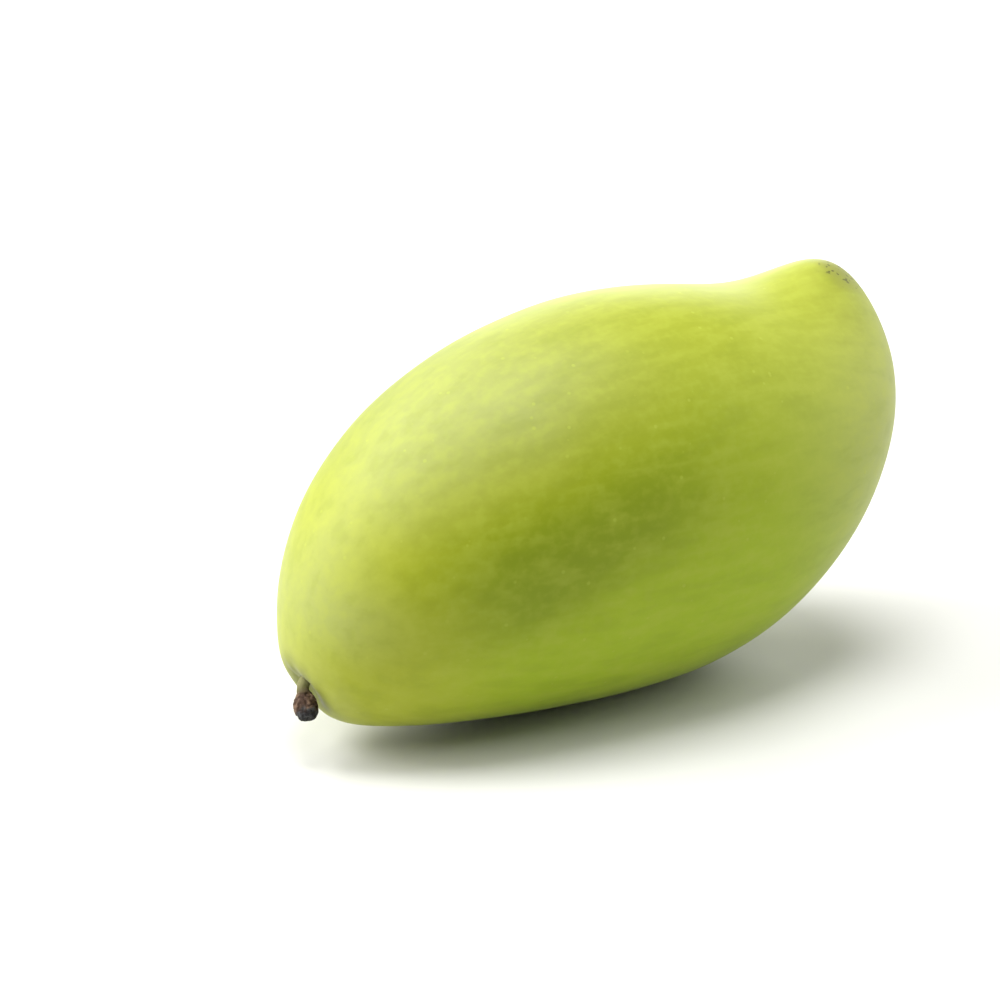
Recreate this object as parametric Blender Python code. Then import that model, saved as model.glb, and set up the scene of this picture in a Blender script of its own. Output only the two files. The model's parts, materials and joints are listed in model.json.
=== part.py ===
"""A long green mango lying on its back, with the dried stub of its stalk.

The fruit grew as one piece and is one solid. Its length runs from the pit where the
stalk was joined to the blunt far end. The belly side, with the beak near the far end
and a soft hollow before it, is up. The back is down and has a small flat spot, on
which the fruit balances with its far end raised. Units are metres, and +Z is up.
"""

import math

import bmesh
import bpy
from mathutils import Matrix, Vector

# Reach of each side from the line between the stalk's pit and the far end
LENGTH = 0.130
BELLY_REACH = 0.0375
BACK_REACH = 0.0380
CHEEK_REACH = 0.0320

# How much fuller than an ellipse each side is: toward the stalk, at both ends, and
# once more toward the stalk
BELLY_FULLNESS = (0.27, -0.15, 0.0)
BACK_FULLNESS = (-0.42, -0.27, 0.38)
CHEEK_FULLNESS = (-0.13, 0.13, 0.0)

# The beak, a round bump on the belly near the far end, leaning toward that end
BEAK_HEIGHT = 0.0072
BEAK_AT = 0.1245
BEAK_RADIUS = 0.0125
BEAK_LEAN = math.radians(27)

# The soft hollow of the belly before the beak
HOLLOW_DEPTH = 0.0024
HOLLOW_AT = 0.114
HOLLOW_LENGTH = 0.018

# The pit round the stalk, its middle a little toward the back, and the soft raised
# shoulder round the pit
PIT_DEPTH = 0.0018
PIT_RADIUS = 0.0036
PIT_DROP = 0.0012
SHOULDER_HEIGHT = 0.0006
SHOULDER_AT = 0.0080
SHOULDER_WIDTH = 0.0045

# Rest: the far end's rise, and how much of the back is pressed flat
FAR_END_RISE = math.radians(19.5)
FLAT_DEPTH = 0.0010

# The stalk's stub: its radius at each distance from the sunk end, a thin neck and then
# a swollen knob with a broken end
STUB_PROFILE = (
    (0.0, 0.00110),
    (0.0013, 0.00110),
    (0.0028, 0.00105),
    (0.0036, 0.00115),
    (0.0042, 0.00150),
    (0.0049, 0.00190),
    (0.0057, 0.00214),
    (0.0065, 0.00218),
    (0.0073, 0.00206),
    (0.0080, 0.00178),
    (0.0085, 0.00145),
)
STUB_SUNK = 0.0013
SOCKET_CLEARANCE = 0.0003

# The stub stands a little above the length line, points below it, then bends to hang
STUB_ABOVE = 0.0010
STUB_LEAVES_BELOW = math.radians(25)
STUB_BEND_LENGTH = 0.0020
STUB_HANGS = Vector((-0.22, -0.62, -0.75)).normalized()

# Facets: the rings of the fruit crowd toward the stalk, where the pit is
FRUIT_SIDES = 64
FRUIT_RINGS = 50
RING_CROWDING = 0.50
STUB_SIDES = 24


def clear_scene():
    for old in list(bpy.data.objects):
        bpy.data.objects.remove(old, do_unlink=True)


def new_collection(name):
    collection = bpy.data.collections.new(name)
    bpy.context.scene.collection.children.link(collection)
    return collection


def new_material(name, colour, roughness):
    material = bpy.data.materials.new(name)
    material.use_nodes = True
    shader = material.node_tree.nodes["Principled BSDF"]
    shader.inputs["Base Color"].default_value = (*colour, 1.0)
    shader.inputs["Roughness"].default_value = roughness
    shader.inputs["Metallic"].default_value = 0.0
    return material


def side(reach, fullness, cosine):
    """Distance of one side from the length line, where cosine is 1 at the stalk end."""
    toward_stalk, both_ends, again = fullness
    sine = math.sqrt(max(0.0, 1 - cosine**2))
    return reach * sine * (1 + toward_stalk * cosine + both_ends * cosine**2 + again * cosine**3)


def swell(distance, spread):
    """1 at no distance, falling smoothly away over the spread."""
    return math.exp(-((distance / spread) ** 2))


def belly_line(cosine):
    """Reach of the belly, with its hollow, measured at right angles to the length line."""
    along = LENGTH * (1 - cosine) / 2
    hollow = HOLLOW_DEPTH * math.sqrt(max(0.0, 1 - cosine**2))
    return side(BELLY_REACH, BELLY_FULLNESS, cosine) - hollow * swell(along - HOLLOW_AT, HOLLOW_LENGTH)


def fruit_point(from_stalk, round_angle):
    """A point of the skin before the fruit is tilted: x along it, y across, z to the belly.

    from_stalk is 0 at the stalk end and pi at the far end. round_angle is 0 on the belly.
    """
    cosine = math.cos(from_stalk)
    belly = belly_line(cosine)
    back = side(BACK_REACH, BACK_FULLNESS, cosine)
    cheek = side(CHEEK_REACH, CHEEK_FULLNESS, cosine)
    point = Vector(
        (
            -cosine * LENGTH / 2,
            cheek * math.sin(round_angle),
            (belly - back) / 2 + (belly + back) / 2 * math.cos(round_angle),
        )
    )
    beak_foot = Vector((BEAK_AT - LENGTH / 2, 0, belly_line(1 - 2 * BEAK_AT / LENGTH)))
    beak = BEAK_HEIGHT * swell((point - beak_foot).length, BEAK_RADIUS)
    if point.x < 0:
        from_pit = math.hypot(point.y, point.z + PIT_DROP)
        point.x += PIT_DEPTH * swell(from_pit, PIT_RADIUS)
        point.x -= SHOULDER_HEIGHT * swell(from_pit - SHOULDER_AT, SHOULDER_WIDTH)
    return point + beak * Vector((math.sin(BEAK_LEAN), 0, math.cos(BEAK_LEAN)))


def stub_root():
    """The point of the skin, before the tilt, where the middle of the stub comes out."""
    end_reach = BELLY_REACH * (1 + sum(BELLY_FULLNESS))
    return fruit_point(math.asin(STUB_ABOVE / end_reach), 0.0)


def stub_path(root, leaving):
    """Centre points of the stub, from its sunk end to the broken tip."""
    place = root - STUB_SUNK * leaving
    path = [place]
    for (start, _), (end, _) in zip(STUB_PROFILE, STUB_PROFILE[1:]):
        bent = ((start + end) / 2 - STUB_SUNK) / STUB_BEND_LENGTH
        bent = max(0.0, min(1.0, bent))
        place = place + (end - start) * leaving.lerp(STUB_HANGS, bent).normalized()
        path.append(place)
    return path


def cut_flat(body):
    """Cuts away what lies below the resting plane and closes the cut with one flat face."""
    cut = bmesh.ops.bisect_plane(
        body,
        geom=body.verts[:] + body.edges[:] + body.faces[:],
        plane_co=(0, 0, 0),
        plane_no=(0, 0, 1),
        dist=1e-7,
        clear_inner=True,
    )
    rim = [item for item in cut["geom_cut"] if isinstance(item, bmesh.types.BMEdge)]
    filled = bmesh.ops.holes_fill(body, edges=rim, sides=0)
    for face in filled["faces"]:
        face.smooth = False


def build_fruit(collection, placing):
    body = bmesh.new()
    bmesh.ops.create_uvsphere(body, u_segments=FRUIT_SIDES, v_segments=FRUIT_RINGS, radius=1)
    for vertex in body.verts:
        from_stalk = math.acos(max(-1.0, min(1.0, vertex.co.z)))
        from_stalk -= RING_CROWDING * math.sin(from_stalk)
        round_angle = math.atan2(vertex.co.y, vertex.co.x)
        vertex.co = placing @ fruit_point(from_stalk, round_angle)
    for face in body.faces:
        face.smooth = True
    cut_flat(body)
    bmesh.ops.recalc_face_normals(body, faces=body.faces[:])
    mesh = bpy.data.meshes.new("fruit")
    body.to_mesh(mesh)
    body.free()
    fruit = bpy.data.objects.new("fruit", mesh)
    collection.objects.link(fruit)
    return fruit


def cut_socket(fruit, cutters, root, leaving):
    """Opens the plain round socket that the sunk end of the stub stands in."""
    radius = STUB_PROFILE[0][1] + SOCKET_CLEARANCE
    depth = STUB_SUNK + SOCKET_CLEARANCE
    body = bmesh.new()
    bmesh.ops.create_cone(
        body, cap_ends=True, segments=STUB_SIDES, radius1=radius, radius2=radius, depth=2 * depth
    )
    mesh = bpy.data.meshes.new("socket_cutter")
    body.to_mesh(mesh)
    body.free()
    cutter = bpy.data.objects.new("socket_cutter", mesh)
    cutters.objects.link(cutter)
    cutter.location = root
    cutter.rotation_euler = leaving.to_track_quat("Z", "Y").to_euler()
    cutter.hide_render = True
    cutter.display_type = "WIRE"
    socket = fruit.modifiers.new("socket", "BOOLEAN")
    socket.operation = "DIFFERENCE"
    socket.solver = "EXACT"
    socket.object = cutter


def build_stem(collection, path):
    """A bent round rod along the stub's path, as thick at each point as its profile."""
    rod = bpy.data.curves.new("stem", "CURVE")
    rod.dimensions = "3D"
    rod.bevel_depth = 1.0
    rod.bevel_resolution = STUB_SIDES // 4
    rod.use_fill_caps = True
    line = rod.splines.new("POLY")
    line.points.add(len(path) - 1)
    for point, place, (_, radius) in zip(line.points, path, STUB_PROFILE):
        point.co = (*place, 1.0)
        point.radius = radius
    line.use_smooth = True
    stem = bpy.data.objects.new("stem", rod)
    collection.objects.link(stem)
    return stem


def build_mango():
    clear_scene()
    parts = new_collection("mango")
    cutters = new_collection("cutters")
    tilt = Matrix.Rotation(-FAR_END_RISE, 4, "Y")
    skin = [
        tilt @ fruit_point(math.pi * ring / FRUIT_RINGS, math.tau * turn / FRUIT_SIDES)
        for ring in range(FRUIT_RINGS + 1)
        for turn in range(FRUIT_SIDES)
    ]
    stub_below = FAR_END_RISE + STUB_LEAVES_BELOW
    leaving = Vector((-math.cos(stub_below), 0, -math.sin(stub_below)))
    path = stub_path(tilt @ stub_root(), leaving)

    # The whole mango, stub included, is centred along X and rests on the flat spot
    stub_end = min(
        place.x - radius * math.sqrt(1 - STUB_HANGS.x**2)
        for place, (_, radius) in zip(path, STUB_PROFILE)
    )
    far_end = max(point.x for point in skin)
    lowest = min(point.z for point in skin)
    shift = Vector((-(stub_end + far_end) / 2, 0, -lowest - FLAT_DEPTH))
    placing = Matrix.Translation(shift) @ tilt

    fruit = build_fruit(parts, placing)
    fruit.data.materials.append(new_material("green_skin", (0.43, 0.55, 0.07), 0.45))
    cut_socket(fruit, cutters, placing @ stub_root(), leaving)
    stem = build_stem(parts, [place + shift for place in path])
    stem.data.materials.append(new_material("dry_stalk", (0.13, 0.08, 0.05), 0.85))


build_mango()
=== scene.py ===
"""The looks of a long green mango with the dried stub of its stalk, lying on a white floor."""

import json
import math

import bpy
from mathutils import Matrix, Vector, noise

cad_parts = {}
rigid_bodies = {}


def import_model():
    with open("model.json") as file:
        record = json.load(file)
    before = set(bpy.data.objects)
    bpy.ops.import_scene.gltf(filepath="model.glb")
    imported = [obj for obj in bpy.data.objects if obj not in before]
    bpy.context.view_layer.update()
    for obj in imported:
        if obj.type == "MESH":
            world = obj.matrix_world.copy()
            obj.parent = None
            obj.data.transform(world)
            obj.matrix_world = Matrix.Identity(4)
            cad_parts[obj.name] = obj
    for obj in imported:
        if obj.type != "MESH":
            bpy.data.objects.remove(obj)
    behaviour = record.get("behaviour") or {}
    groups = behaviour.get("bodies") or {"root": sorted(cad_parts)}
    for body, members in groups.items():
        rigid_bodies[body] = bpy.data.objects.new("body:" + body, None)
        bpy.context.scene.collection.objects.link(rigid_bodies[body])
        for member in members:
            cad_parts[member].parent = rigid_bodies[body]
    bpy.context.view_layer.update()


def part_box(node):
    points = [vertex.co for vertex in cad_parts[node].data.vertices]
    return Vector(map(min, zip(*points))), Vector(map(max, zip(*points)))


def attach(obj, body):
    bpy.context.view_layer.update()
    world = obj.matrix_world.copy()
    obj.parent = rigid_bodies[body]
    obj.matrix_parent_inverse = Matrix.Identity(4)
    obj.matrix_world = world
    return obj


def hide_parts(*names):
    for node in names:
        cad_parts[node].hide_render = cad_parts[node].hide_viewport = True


for old in list(bpy.data.objects):
    bpy.data.objects.remove(old, do_unlink=True)
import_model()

# The fruit. It grew as one piece: a long mango with a full belly, a beak near its blunt
# far end and a shallow pit round the stalk. The skin is thin and waxy, with faint paler
# pores. It lies on its back with the far end raised, pressed flat where it rests.
LENGTH = 0.130
BELLY_REACH = 0.0375
BACK_REACH = 0.0380
CHEEK_REACH = 0.0320
BELLY_FULLNESS = (0.27, -0.15, 0.0)
BACK_FULLNESS = (-0.42, -0.27, 0.38)
CHEEK_FULLNESS = (-0.13, 0.13, 0.0)
BEAK_HEIGHT = 0.0072
BEAK_AT = 0.1245
BEAK_RADIUS = 0.0125
BEAK_LEAN = math.radians(27)
SCAR_FROM_BEAK_TIP = Vector((-0.0003, -0.0035, -0.0019))
HOLLOW_DEPTH = 0.0024
HOLLOW_AT = 0.114
HOLLOW_LENGTH = 0.018
PIT_DEPTH = 0.0018
PIT_RADIUS = 0.0036
PIT_DROP = 0.0012
SHOULDER_HEIGHT = 0.0006
SHOULDER_AT = 0.0080
SHOULDER_WIDTH = 0.0045
UNEVEN_HEIGHTS_AND_SCALES = ((0.00030, 28), (0.00010, 75))
PUCKER_COUNT = 7
PUCKER_HEIGHT = 0.00004
PUCKER_AT = 0.0050
PUCKER_WIDTH = 0.0028
PUCKER_WAVER = 4
PUCKER_WAVER_SCALE = 90
FAR_END_RISE = math.radians(19.5)
FLAT_DEPTH = 0.0010
SKIN_RINGS = 250
SKIN_SIDES = 256
RING_CROWDING = 0.45
FACING_STEP = 0.004


def side(reach, fullness, cosine):
    """Distance of one side from the length line, where cosine is 1 at the stalk end."""
    toward_stalk, both_ends, again = fullness
    sine = math.sqrt(max(0.0, 1 - cosine**2))
    return reach * sine * (1 + toward_stalk * cosine + both_ends * cosine**2 + again * cosine**3)


def swell(distance, spread):
    """1 at no distance, falling smoothly away over the spread."""
    return math.exp(-((distance / spread) ** 2))


def belly_line(cosine):
    """Reach of the belly, with its hollow, measured at right angles to the length line."""
    along = LENGTH * (1 - cosine) / 2
    hollow = HOLLOW_DEPTH * math.sqrt(max(0.0, 1 - cosine**2))
    reach = side(BELLY_REACH, BELLY_FULLNESS, cosine)
    return reach - hollow * swell(along - HOLLOW_AT, HOLLOW_LENGTH)


beak_foot = Vector((BEAK_AT - LENGTH / 2, 0, belly_line(1 - 2 * BEAK_AT / LENGTH)))
beak_way = Vector((math.sin(BEAK_LEAN), 0, math.cos(BEAK_LEAN)))
scar_middle = beak_foot + BEAK_HEIGHT * beak_way + SCAR_FROM_BEAK_TIP
pit_middle = Vector((-LENGTH / 2, 0, -PIT_DROP))


def fruit_point(from_stalk, round_angle):
    """A point of the plain form before it is tilted: x along it, y across, z to the belly."""
    cosine = math.cos(from_stalk)
    belly = belly_line(cosine)
    back = side(BACK_REACH, BACK_FULLNESS, cosine)
    cheek = side(CHEEK_REACH, CHEEK_FULLNESS, cosine)
    up = (belly - back) / 2 + (belly + back) / 2 * math.cos(round_angle)
    point = Vector((-cosine * LENGTH / 2, cheek * math.sin(round_angle), up))
    beak = BEAK_HEIGHT * swell((point - beak_foot).length, BEAK_RADIUS)
    if point.x < 0:
        from_pit = math.hypot(point.y, point.z + PIT_DROP)
        point.x += PIT_DEPTH * swell(from_pit, PIT_RADIUS)
        point.x -= SHOULDER_HEIGHT * swell(from_pit - SHOULDER_AT, SHOULDER_WIDTH)
    return point + beak * beak_way


def grown_relief(point):
    """Small unevenness of a grown form, and the puckers that run out of the pit."""
    uneven = sum(
        height * noise.noise(point * scale) for height, scale in UNEVEN_HEIGHTS_AND_SCALES
    )
    round_pit = math.atan2(point.y, point.z + PIT_DROP)
    waver = PUCKER_WAVER * noise.noise(point * PUCKER_WAVER_SCALE)
    pucker = math.cos(PUCKER_COUNT * round_pit + waver)
    pucker *= swell((point - pit_middle).length - PUCKER_AT, PUCKER_WIDTH)
    return uneven + PUCKER_HEIGHT * pucker


def skin_facing(from_stalk, round_angle):
    """Which way the plain form faces."""
    before = fruit_point(from_stalk - FACING_STEP, round_angle)
    along = fruit_point(from_stalk + FACING_STEP, round_angle) - before
    before = fruit_point(from_stalk, round_angle - FACING_STEP)
    across = fruit_point(from_stalk, round_angle + FACING_STEP) - before
    return across.cross(along).normalized()


skin_points = []
skin_places = []
for ring in range(SKIN_RINGS + 1):
    from_stalk = math.pi * ring / SKIN_RINGS
    from_stalk -= RING_CROWDING * math.sin(from_stalk)
    at_end = ring in (0, SKIN_RINGS)
    for turn in range(1 if at_end else SKIN_SIDES):
        round_angle = math.tau * turn / SKIN_SIDES
        point = fruit_point(from_stalk, round_angle)
        if at_end:
            facing = Vector((point.x, 0, 0)).normalized()
        else:
            facing = skin_facing(from_stalk, round_angle)
        skin_points.append(point + grown_relief(point) * facing)
        skin_places.append(point)

skin_faces = []
last_ring = 1 + (SKIN_RINGS - 2) * SKIN_SIDES
for turn in range(SKIN_SIDES):
    after = (turn + 1) % SKIN_SIDES
    skin_faces.append((0, 1 + turn, 1 + after))
    for this in range(1, last_ring, SKIN_SIDES):
        later = this + SKIN_SIDES
        skin_faces.append((this + turn, later + turn, later + after, this + after))
    skin_faces.append((last_ring + turn, len(skin_points) - 1, last_ring + after))

# The fruit is tilted and moved till its far end is where the CAD fruit's is and its back
# is a little below the floor. What would be below the floor is pressed flat on it.
tilt = Matrix.Rotation(-FAR_END_RISE, 4, "Y")
tilted = [tilt @ point for point in skin_places]
cad_far_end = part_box("fruit")[1].x
shift_along = cad_far_end - max(point.x for point in tilted)
shift_up = -FLAT_DEPTH - min(point.z for point in tilted)
placing = Matrix.Translation(Vector((shift_along, 0, shift_up))) @ tilt
skin_points = [placing @ point for point in skin_points]
for point in skin_points:
    point.z = max(point.z, 0.0)


def new_piece(name, points, faces, marks):
    """A smooth mesh in the scene, with the measures that its finish reads at each point."""
    mesh = bpy.data.meshes.new(name)
    mesh.from_pydata(points, [], faces)
    mesh.update()
    mesh.shade_smooth()
    for mark, measures in marks.items():
        mesh.attributes.new(mark, "FLOAT", "POINT").data.foreach_set("value", measures)
    piece = bpy.data.objects.new(name, mesh)
    bpy.context.scene.collection.objects.link(piece)
    return piece


skin_marks = {
    "from_stalk": [place.x / LENGTH + 0.5 for place in skin_places],
    "to_belly": [place.z / BELLY_REACH for place in skin_places],
    "to_far_cheek": [place.y / CHEEK_REACH for place in skin_places],
    "from_pit": [(place - pit_middle).length for place in skin_places],
    "from_scar": [(place - scar_middle).length for place in skin_places],
}
skin = new_piece("mango_skin", skin_points, skin_faces, skin_marks)


class Shade:
    """An output of a shader node, where arithmetic adds Math nodes."""

    def __init__(self, tree, socket=None):
        self.tree = tree
        self.socket = socket

    def fill(self, node, inputs):
        """Gives the named inputs of a node their values, or links outputs to them."""
        for name, value in inputs.items():
            if isinstance(value, Shade):
                self.tree.links.new(value.socket, node.inputs[name])
            else:
                node.inputs[name].default_value = value

    def node(self, kind, settings, inputs, output=0):
        """Adds a node: its settings first, then the values or links of its sockets."""
        added = self.tree.nodes.new(kind)
        for name, setting in settings.items():
            setattr(added, name, setting)
        self.fill(added, inputs)
        return Shade(self.tree, added.outputs[output])

    def surface(self, inputs):
        """Fills the inputs of the material's own shader."""
        self.fill(self.tree.nodes["Principled BSDF"], inputs)

    def maths(self, operation, *values):
        settings = {"operation": operation}
        return self.node("ShaderNodeMath", settings, dict(enumerate(values)))

    def __add__(self, other):
        return self.maths("ADD", self, other)

    def __sub__(self, other):
        return self.maths("SUBTRACT", self, other)

    def __rsub__(self, other):
        return self.maths("SUBTRACT", other, self)

    def __mul__(self, other):
        return self.maths("MULTIPLY", self, other)

    __radd__ = __add__
    __rmul__ = __mul__

    def size(self):
        return self.maths("ABSOLUTE", self)

    def between(self, low, high):
        """0 at or below low, 1 at or above high, and smooth from one to the other."""
        settings = {"interpolation_type": "SMOOTHSTEP"}
        return self.node("ShaderNodeMapRange", settings, {0: self, 1: low, 2: high})

    def wavering(self, by, reach):
        """The measure, shifted to and fro by a noise, so that an edge drawn by it wavers."""
        return self + reach * (by - 0.5)

    def place(self):
        """Where a point is, in metres."""
        return self.node("ShaderNodeTexCoord", {}, {}, output="Object")

    def mark(self, name):
        """A measure that the mesh holds at each point."""
        return self.node("ShaderNodeAttribute", {"attribute_name": name}, {}, output="Fac")

    def noise(self, place, scale, detail):
        inputs = {"Vector": place, "Scale": scale, "Detail": detail}
        return self.node("ShaderNodeTexNoise", {}, inputs)

    def bump(self, height, strength, distance):
        inputs = {"Height": height, "Strength": strength, "Distance": distance}
        return self.node("ShaderNodeBump", {}, inputs)

    def colours(self, share, first, second, strength=1.0):
        """The first colour where share is 0, and where it is 1 the second, at its strength."""
        first, second = (
            colour if isinstance(colour, Shade) else (*colour, 1.0) for colour in (first, second)
        )
        inputs = {0: share * strength, 6: first, 7: second}
        return self.node("ShaderNodeMix", {"data_type": "RGBA"}, inputs, output=2)


def new_finish(name):
    """A material, and a Shade that adds nodes to it."""
    material = bpy.data.materials.new(name)
    material.use_nodes = True
    return material, Shade(material.node_tree)


skin_finish, made = new_finish("waxy_green_skin")
place = made.place()
along = made.mark("from_stalk")
clouds = made.noise(place, scale=30.0, detail=3.0)

# Two greens pass into each other from the back to the belly, with a cloudy edge. The back, which
# lies on the floor, is also painted lighter than the belly on top, as painted bounce light from
# the floor.
BACK_GREEN_WITH_PAINTED_BOUNCE = (0.318, 0.435, 0.008)
BELLY_GREEN = (0.276, 0.308, 0.010)
BACK_TO_BELLY = (-0.5, 1.1)
belly = made.mark("to_belly").wavering(clouds, reach=0.25)
colour = made.colours(belly.between(*BACK_TO_BELLY), BACK_GREEN_WITH_PAINTED_BOUNCE, BELLY_GREEN)

# A paler crown on the top of the half at the stalk end, painted light where the light from the
# left and above falls most, and a deeper flank below it, a band of painted shade
PAINTED_LIT_CROWN_GREEN = (0.335, 0.368, 0.035)
CROWN_ALONG = (0.12, 0.50)
CROWN_UP = (0.40, 0.75)
painted_lit_crown = (1 - along.between(*CROWN_ALONG)) * belly.between(*CROWN_UP)
colour = made.colours(painted_lit_crown, colour, PAINTED_LIT_CROWN_GREEN, strength=0.7)
# The deeper flank is painted shade: a dark band along the near cheek, between the light from
# above and the light bounced up from the floor
SHADE_BAND_GREEN = (0.172, 0.232, 0.002)
FLANK_MIDDLE_UP = 0.28
FLANK_UP = (0.05, 0.40)
FLANK_MIDDLE_ALONG = 0.36
FLANK_ALONG = (0.06, 0.34)
painted_shade_band = 1 - (belly - FLANK_MIDDLE_UP).size().between(*FLANK_UP)
painted_shade_band = painted_shade_band * (1 - (along - FLANK_MIDDLE_ALONG).size().between(*FLANK_ALONG))
colour = made.colours(painted_shade_band, colour, SHADE_BAND_GREEN, strength=0.75)

# Both ends are paler, and the far cheek is a deeper green. The paler stalk end, which faces the
# panels at the left, is partly painted light
STALK_END_GREEN = (0.370, 0.400, 0.024)
STALK_END_ALONG = (0.04, 0.26)
FAR_END_GREEN = (0.306, 0.335, 0.034)
FAR_END_ALONG = (0.55, 0.95)
FAR_CHEEK_GREEN = (0.165, 0.220, 0.008)
FAR_CHEEK_ACROSS = (0.1, 0.9)
stalk_end = 1 - along.between(*STALK_END_ALONG)
colour = made.colours(stalk_end, colour, STALK_END_GREEN, strength=0.85)
far_end = along.between(*FAR_END_ALONG)
colour = made.colours(far_end, colour, FAR_END_GREEN, strength=0.85)
far_cheek = made.mark("to_far_cheek").wavering(clouds, reach=0.3).between(*FAR_CHEEK_ACROSS)
colour = made.colours(far_cheek, colour, FAR_CHEEK_GREEN, strength=0.5)

# A cloudy whitish bloom of wax on the crown, round the stalk end and on the far flank, which is
# partly painted light: on the crown and round the stalk end it is also a painted highlight where
# the light from the left, above and behind grazes the edge
BLOOM_AND_HIGHLIGHT_GREEN = (0.310, 0.345, 0.170)
BLOOM_AND_HIGHLIGHT_CROWN_ALONG = (0.25, 0.75)
BLOOM_AND_HIGHLIGHT_CROWN_UP = (0.50, 1.0)
BLOOM_AND_HIGHLIGHT_END_ALONG = (0.03, 0.15)
BLOOM_AND_HIGHLIGHT_END_UP = (0.05, 0.45)
FAR_FLANK_BLOOM_AND_FLOOR_LIGHT = (0.500, 0.540, 0.250)
FAR_FLANK_ALONG = (0.60, 0.90)
FAR_FLANK_UP = (-0.3, 0.4)
BLOOM_AND_PAINTED_LIGHT_LEAST = 0.25
BLOOM_AND_PAINTED_LIGHT_IN_CLOUDS = 0.35
cloudy = BLOOM_AND_PAINTED_LIGHT_LEAST + BLOOM_AND_PAINTED_LIGHT_IN_CLOUDS * clouds
bloom_and_highlight = (1 - along.between(*BLOOM_AND_HIGHLIGHT_CROWN_ALONG)) * belly.between(*BLOOM_AND_HIGHLIGHT_CROWN_UP)
bloom_and_highlight = bloom_and_highlight + (1 - along.between(*BLOOM_AND_HIGHLIGHT_END_ALONG)) * belly.between(*BLOOM_AND_HIGHLIGHT_END_UP)
colour = made.colours(bloom_and_highlight, colour, BLOOM_AND_HIGHLIGHT_GREEN, strength=cloudy)
# The pale far flank at the bottom is partly wax bloom and partly painted light, reflected up
# from the white floor
far_flank_bloom_and_floor_light = along.between(*FAR_FLANK_ALONG) * (1 - belly.between(*FAR_FLANK_UP))
colour = made.colours(far_flank_bloom_and_floor_light, colour, FAR_FLANK_BLOOM_AND_FLOOR_LIGHT, strength=cloudy)

# Fine mottling, streaks that run lengthways and are fainter on the far cheek, and pores
PALE_GREEN = (0.44, 0.49, 0.060)
DEEP_GREEN = (0.16, 0.21, 0.004)
MOTTLED = (0.40, 0.70)
STREAK_STRETCH = (0.28, 1.0, 1.0)
PALE_STREAKS = (0.48, 0.66)
DEEP_STREAKS = (0.32, 0.50)
STREAKS_LOST_ON_FAR_CHEEK = 0.55
PORE_EDGE = (0.07, 0.13)
PORE_PRESENT = (0.40, 0.55)
mottle = made.noise(place, scale=600.0, detail=4.0)
stretched = made.node(
    "ShaderNodeVectorMath", {"operation": "MULTIPLY"}, {0: place, 1: STREAK_STRETCH}
)
streaks = made.noise(stretched, scale=340.0, detail=3.0)
streaky = 1 - STREAKS_LOST_ON_FAR_CHEEK * far_cheek
pores = made.node(
    "ShaderNodeTexVoronoi", {}, {"Vector": place, "Scale": 300.0}, output="Distance"
)
pore_chance = made.noise(place, scale=120.0, detail=2.0)
pore = (1 - pores.between(*PORE_EDGE)) * pore_chance.between(*PORE_PRESENT)
colour = made.colours(mottle.between(*MOTTLED), colour, PALE_GREEN, strength=0.14)
pale_streaks = streaks.between(*PALE_STREAKS) * streaky
colour = made.colours(pale_streaks, colour, PALE_GREEN, strength=0.17)
deep_streaks = 1 - streaks.between(*DEEP_STREAKS)
colour = made.colours(deep_streaks, colour, DEEP_GREEN, strength=0.14)
colour = made.colours(pore, colour, PALE_GREEN, strength=0.35)

# The pit, with a pale ring round an olive middle. The olive middle is painted shade, of the
# hollow of the pit and of the stub over it
PIT_PALE = (0.36, 0.37, 0.11)
PIT_PALE_REACH = (0.0080, 0.0140)
PIT_SHADE_OLIVE = (0.120, 0.130, 0.016)
PIT_OLIVE_REACH = (0.0035, 0.0092)
pit_edge = made.noise(place, scale=260.0, detail=3.0)
from_pit = made.mark("from_pit").wavering(pit_edge, reach=0.004)
pit_ring = 1 - from_pit.between(*PIT_PALE_REACH)
colour = made.colours(pit_ring, colour, PIT_PALE, strength=0.30)
painted_pit_shade = 1 - from_pit.between(*PIT_OLIVE_REACH)
colour = made.colours(painted_pit_shade, colour, PIT_SHADE_OLIVE, strength=0.75)

# The scar on the beak, an olive patch with brown specks in it
SCAR_OLIVE = (0.19, 0.19, 0.045)
SCAR_REACH = (0.0005, 0.0075)
SCAR_BROWN = (0.050, 0.045, 0.012)
SPECK_REACH = (0.0020, 0.0060)
SPECK_EDGE = (0.60, 0.70)
scar_edge = made.noise(place, scale=200.0, detail=3.0)
from_scar = made.mark("from_scar").wavering(scar_edge, reach=0.007)
scar = 1 - from_scar.between(*SCAR_REACH)
colour = made.colours(scar, colour, SCAR_OLIVE, strength=0.65)
specks = made.noise(place, scale=1000.0, detail=1.0).between(*SPECK_EDGE)
specks = specks * (1 - from_scar.between(*SPECK_REACH))
colour = made.colours(specks, colour, SCAR_BROWN, strength=0.9)

SKIN_ROUGHNESS = 0.44
SKIN_UNEVENNESS = 0.08
MOTTLE_RELIEF = 0.6
PORE_RELIEF = 0.5
skin_roughness = SKIN_ROUGHNESS + SKIN_UNEVENNESS * clouds + SKIN_UNEVENNESS * mottle
relief = MOTTLE_RELIEF * mottle + PORE_RELIEF * pore
made.surface(
    {
        "Base Color": colour,
        "Roughness": skin_roughness,
        "Normal": made.bump(relief, strength=0.12, distance=0.0002),
        "Subsurface Weight": 0.10,
        "Subsurface Radius": (0.8, 1.0, 0.3),
        "Subsurface Scale": 0.003,
        "Specular IOR Level": 0.24,
        "Sheen Weight": 0.12,
        "Sheen Roughness": 0.35,
    }
)
skin.data.materials.append(skin_finish)
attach(skin, "root")
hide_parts("fruit")

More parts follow.
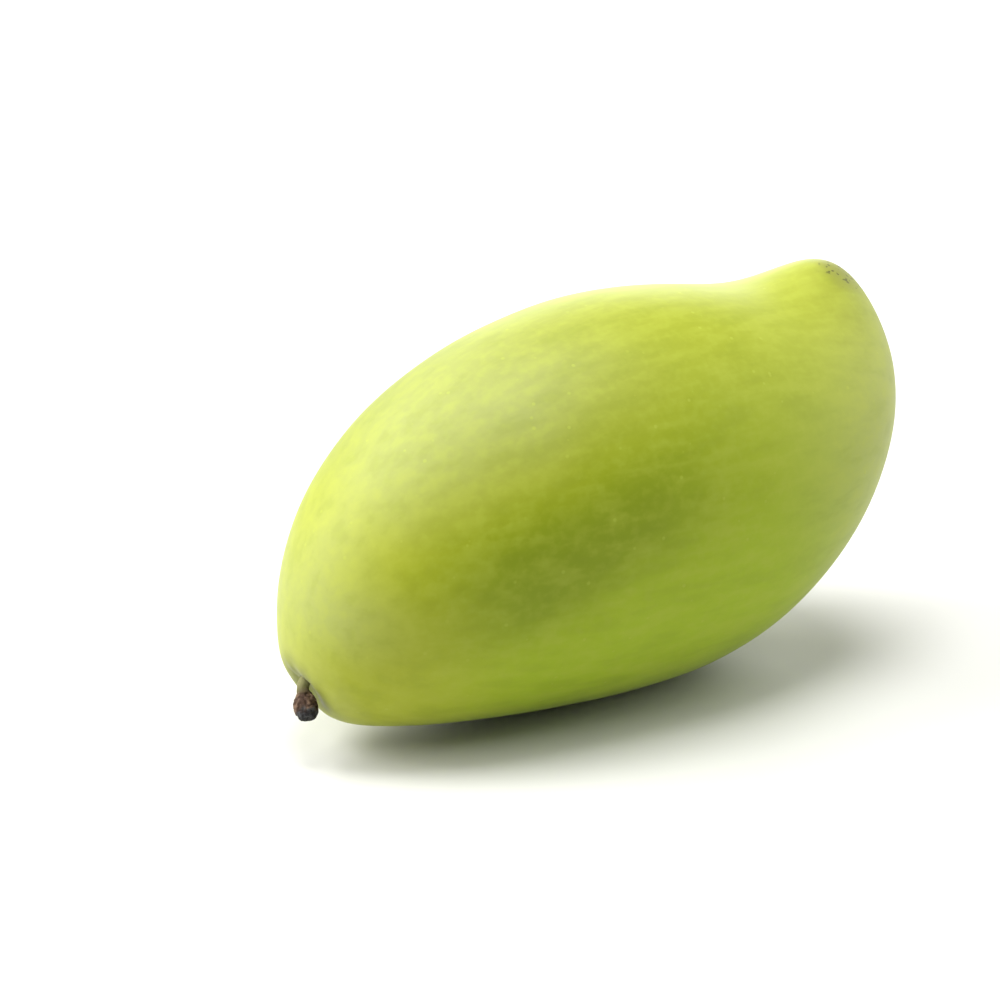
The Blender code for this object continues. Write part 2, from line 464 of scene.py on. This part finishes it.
# The stub of the stalk. It is dry wood, grown into the fruit at the pit: a thin crooked
# neck that swells to a cracked brown knob, with a dark ragged end where it broke off.
STUB_DISTANCES_AND_RADII = (
    (0.0, 0.00110),
    (0.0013, 0.00110),
    (0.0028, 0.00105),
    (0.0036, 0.00115),
    (0.0042, 0.00150),
    (0.0049, 0.00190),
    (0.0057, 0.00214),
    (0.0065, 0.00218),
    (0.0073, 0.00206),
    (0.0080, 0.00178),
    (0.0085, 0.00145),
)
STUB_SUNK = 0.0013
STUB_ABOVE = 0.0010
STUB_LEAVES_BELOW = math.radians(25)
STUB_BEND_LENGTH = 0.0020
STUB_HANGS = Vector((-0.22, -0.62, -0.75)).normalized()
STUB_SIDES = 72
STUB_STEP = 0.0001
CRACK_DEPTH = 0.0011
CRACK_SCALE = 900
CRACK_HALF_WIDTH = 0.25
LUMP_HEIGHT = 0.00030
LUMP_SCALE = 420
NECK_RELIEF_SHARE = 0.25
BARK_FROM = 0.0030
BARK_FADE = 0.0015
BREAK_RINGS = 8
BREAK_MIDDLE_AT = 0.96
BREAK_DEPTH = 0.00040
SPLINTER_HEIGHT = 0.00030
SPLINTER_SCALE = 2200

stub_below = FAR_END_RISE + STUB_LEAVES_BELOW
stub_leaves = Vector((-math.cos(stub_below), 0, -math.sin(stub_below)))
stub_length = STUB_DISTANCES_AND_RADII[-1][0]
stub_rings = round(stub_length / STUB_STEP)


def stub_radius(distance):
    """Radius at a distance from the sunk end, taken smoothly between the sizes."""
    for lower, upper in zip(STUB_DISTANCES_AND_RADII, STUB_DISTANCES_AND_RADII[1:]):
        start, thin = lower
        end, thick = upper
        if distance <= end:
            share = max(0.0, (distance - start) / (end - start))
            return thin + (thick - thin) * share * share * (3 - 2 * share)
    return STUB_DISTANCES_AND_RADII[-1][1]


def bark_relief(place, distance):
    """Cracks and lumps of the bark, which are slight on the neck."""
    crack = min(CRACK_HALF_WIDTH, abs(noise.noise(place * CRACK_SCALE))) - CRACK_HALF_WIDTH
    lump = noise.noise(place * LUMP_SCALE)
    share = max(NECK_RELIEF_SHARE, min(1.0, (distance - BARK_FROM) / BARK_FADE))
    return share * (CRACK_DEPTH * crack + LUMP_HEIGHT * lump)


stub_points = []
up_from_length_line = BELLY_REACH * (1 + sum(BELLY_FULLNESS))
root_angle = math.asin(STUB_ABOVE / up_from_length_line)
middle = placing @ fruit_point(root_angle, 0.0) - STUB_SUNK * stub_leaves
for ring in range(stub_rings + 1):
    distance = ring * STUB_STEP
    bent = max(0.0, min(1.0, (distance - STUB_SUNK) / STUB_BEND_LENGTH))
    way = stub_leaves.lerp(STUB_HANGS, bent).normalized()
    across = Vector((0, 1, 0)).cross(way).normalized()
    other = way.cross(across)
    for turn in range(STUB_SIDES):
        angle = math.tau * turn / STUB_SIDES
        outward = math.cos(angle) * across + math.sin(angle) * other
        place = middle + stub_radius(distance) * outward
        stub_points.append(place + bark_relief(place, distance) * outward)
    middle = middle + STUB_STEP * way

# The broken end steps inward, ring by ring, to a ragged sunken middle
tip_start = stub_rings * STUB_SIDES
for ring in range(1, BREAK_RINGS + 1):
    inward = ring / BREAK_RINGS
    for turn in range(STUB_SIDES):
        edge = stub_points[tip_start + turn]
        place = edge.lerp(middle, BREAK_MIDDLE_AT * inward)
        splinter = SPLINTER_HEIGHT * noise.noise(place * SPLINTER_SCALE) - BREAK_DEPTH * inward
        stub_points.append(place + splinter * STUB_HANGS)

last_ring = len(stub_points) - STUB_SIDES
stub_faces = [tuple(reversed(range(STUB_SIDES)))]
for this in range(0, last_ring, STUB_SIDES):
    later = this + STUB_SIDES
    for turn in range(STUB_SIDES):
        after = (turn + 1) % STUB_SIDES
        stub_faces.append((this + turn, this + after, later + after, later + turn))
stub_faces.append(tuple(range(last_ring, last_ring + STUB_SIDES)))

along_stub = [min(1.0, (i // STUB_SIDES) / stub_rings) for i in range(len(stub_points))]
stub = new_piece("stalk_stub", stub_points, stub_faces, {"along_stub": along_stub})

NECK_TAN = (0.24, 0.235, 0.095)
NECK_TO_BARK = (0.22, 0.55)
BARK_BROWN = (0.055, 0.028, 0.016)
BARK_PALE = (0.200, 0.125, 0.080)
BARK_PATCHES = (0.47, 0.68)
BREAK_DARK = (0.010, 0.008, 0.008)
BREAK_GREY = (0.055, 0.055, 0.055)
BREAK_GRAIN = (0.40, 0.65)
BARK_TO_BREAK = (0.88, 1.05)
BREAK_EDGE_WAVER = 0.25
STUB_ROUGHNESS = 0.65
STUB_UNEVENNESS = 0.3

stub_finish, made = new_finish("dry_stalk")
place = made.place()
along = made.mark("along_stub")
grain = made.noise(place, scale=1500.0, detail=4.0)
patches = made.noise(place, scale=600.0, detail=2.0)
bark = made.colours(patches.between(*BARK_PATCHES), BARK_BROWN, BARK_PALE)
broken = made.colours(grain.between(*BREAK_GRAIN), BREAK_DARK, BREAK_GREY)
colour = made.colours(along.between(*NECK_TO_BARK), NECK_TAN, bark)
at_break = (along + BREAK_EDGE_WAVER * grain).between(*BARK_TO_BREAK)
made.surface(
    {
        "Base Color": made.colours(at_break, colour, broken),
        "Roughness": STUB_ROUGHNESS + STUB_UNEVENNESS * grain,
        "Normal": made.bump(grain, strength=0.7, distance=0.0002),
        "Specular IOR Level": 0.3,
    }
)
stub.data.materials.append(stub_finish)
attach(stub, "root")
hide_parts("stem")

# The floor. It is a plain white board under the fruit, wide enough to fill the
# camera's view.
FLOOR_HALF = 4.0
FLOOR_WHITE = (0.625, 0.625, 0.600)
floor_corners = [
    (-FLOOR_HALF, -FLOOR_HALF, 0.0),
    (FLOOR_HALF, -FLOOR_HALF, 0.0),
    (FLOOR_HALF, FLOOR_HALF, 0.0),
    (-FLOOR_HALF, FLOOR_HALF, 0.0),
]
floor_mesh = bpy.data.meshes.new("floor")
floor_mesh.from_pydata(floor_corners, [], [(0, 1, 2, 3)])
floor = bpy.data.objects.new("floor", floor_mesh)
bpy.context.scene.collection.objects.link(floor)
floor_finish, made = new_finish("white_board")
made.surface(
    {"Base Color": (*FLOOR_WHITE, 1.0), "Roughness": 0.6, "Specular IOR Level": 0.2}
)
floor_mesh.materials.append(floor_finish)

# The camera. It stands off the stalk end and the near cheek, and looks at the fruit from
# a little above.
CAMERA_OFF_SIDE = math.radians(35.86)
CAMERA_ABOVE = math.radians(20)
CAMERA_DISTANCE = 0.585
CAMERA_LENS = 116.9
CAMERA_SENSOR = 36.0
CAMERA_NEAREST = 0.05
CAMERA_FARTHEST = 20.0
AIM_LEFT = 0.0163
AIM_BELOW = 0.0003
fruit_middle = placing @ Vector((0, 0, 0))
back = Vector(
    (
        -math.sin(CAMERA_OFF_SIDE) * math.cos(CAMERA_ABOVE),
        -math.cos(CAMERA_OFF_SIDE) * math.cos(CAMERA_ABOVE),
        math.sin(CAMERA_ABOVE),
    )
)
right = Vector((math.cos(CAMERA_OFF_SIDE), -math.sin(CAMERA_OFF_SIDE), 0))
up = back.cross(right)
camera = bpy.data.objects.new("camera", bpy.data.cameras.new("camera"))
bpy.context.scene.collection.objects.link(camera)
camera.location = fruit_middle + CAMERA_DISTANCE * back
aim = fruit_middle - AIM_LEFT * right - AIM_BELOW * up
behind = (camera.location - aim).normalized()
across = (right - right.dot(behind) * behind).normalized()
camera.rotation_euler = Matrix((across, behind.cross(across), behind)).transposed().to_euler()
camera.data.lens = CAMERA_LENS
camera.data.sensor_width = CAMERA_SENSOR
camera.data.clip_start = CAMERA_NEAREST
camera.data.clip_end = CAMERA_FARTHEST
bpy.context.scene.camera = camera

# The light. It comes from nine round soft panels over and round the fruit. The brightest
# are over it and at its left, and one at the left is on the camera's side. The room itself
# gives no light.
PANEL_SIZE = 0.7
PANEL_DISTANCE = 1.2
ROOM_LIGHT = 0.0
upward = Vector((0, 0, 1))
away = -Vector((back.x, back.y, 0)).normalized()
for name, sideways, distance_away, height, watts in (
    ("panel_over", 0.0, 0.0, 1.0, 13.8),
    ("panel_left_low", -1.0, 0.0, 0.27, 6.2),
    ("panel_left_high", -1.0, 0.0, 1.0, 11.2),
    ("panel_front_left", -0.7, -0.7, 1.0, 5.4),
    ("panel_behind_left", -0.7, 0.7, 1.0, 5.0),
    ("panel_behind", 0.0, 1.0, 0.27, 5.0),
    ("panel_behind_right", 0.7, 0.7, 0.27, 3.0),
    ("panel_right_low", 1.0, 0.0, 0.27, 3.4),
    ("panel_right_high", 1.0, 0.0, 1.0, 3.2),
):
    light = bpy.data.lights.new(name, "AREA")
    light.shape = "DISK"
    light.size = PANEL_SIZE
    light.energy = watts
    panel = bpy.data.objects.new(name, light)
    way = (sideways * right + distance_away * away + height * upward).normalized()
    panel.location = PANEL_DISTANCE * way + fruit_middle.z * upward
    panel.rotation_euler = way.to_track_quat("Z", "Y").to_euler()
    bpy.context.scene.collection.objects.link(panel)
room = bpy.data.worlds.new("room")
room.use_nodes = True
backdrop = room.node_tree.nodes["Background"]
backdrop.inputs["Color"].default_value = (1.0, 1.0, 1.0, 1.0)
backdrop.inputs["Strength"].default_value = ROOM_LIGHT
bpy.context.scene.world = room
bpy.context.scene.view_settings.view_transform = "Standard"
